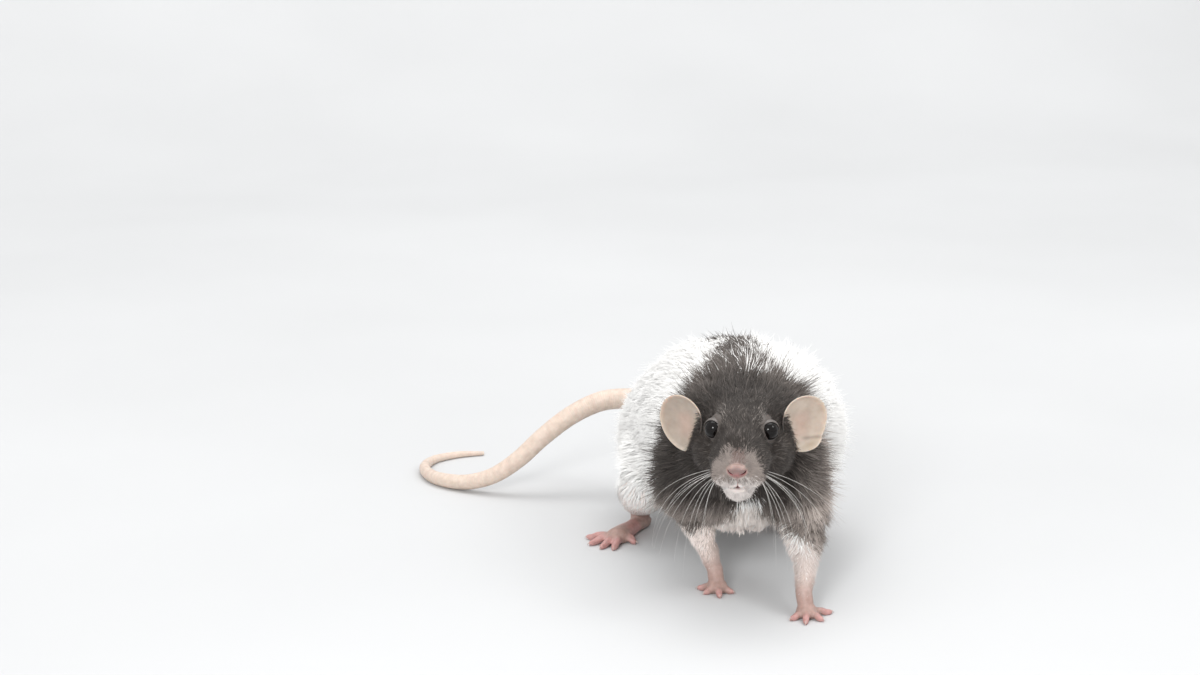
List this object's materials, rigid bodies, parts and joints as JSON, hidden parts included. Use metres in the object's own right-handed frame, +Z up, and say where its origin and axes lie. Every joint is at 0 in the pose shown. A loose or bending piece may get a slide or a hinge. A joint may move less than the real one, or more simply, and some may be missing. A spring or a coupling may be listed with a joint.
{
  "type": "standing pet rat",
  "caption": "Hooded, round-eared pet rat standing with its head raised and its tail curled on the floor, a life-size still animal model.",
  "frame": {"origin": "middle of the bottom of the animal's box, on the floor it stands on", "axes": "+Z up, -Y the way the rat faces, -X the rat's right side, where the tail curls"},
  "size_m": [0.1612, 0.263, 0.0908],
  "materials": {
    "hood_coat": "short dark grey-brown fur",
    "white_coat": "soft white fur",
    "bare_skin": "satin bare skin",
    "ear_skin": "thin satin skin",
    "eye_gloss": "wet gloss"
  },
  "bodies": {
    "root": {"head": "hood_coat", "neck": "hood_coat", "chest": "white_coat", "trunk": "white_coat", "rump": "white_coat", "upper_arm_left": "hood_coat", "upper_arm_right": "hood_coat", "forearm_left": "white_coat", "forearm_right": "white_coat", "forepaw_left": "bare_skin", "forepaw_right": "bare_skin", "thigh_left": "white_coat", "thigh_right": "white_coat", "shank_left": "white_coat", "shank_right": "white_coat", "hindpaw_left": "bare_skin", "hindpaw_right": "bare_skin", "tail_1": "bare_skin", "tail_2": "bare_skin", "tail_3": "bare_skin", "tail_4": "bare_skin", "tail_5": "bare_skin", "ear_left": "ear_skin", "ear_right": "ear_skin", "eye_left": "eye_gloss", "eye_right": "eye_gloss"}
  },
  "joints": []
}
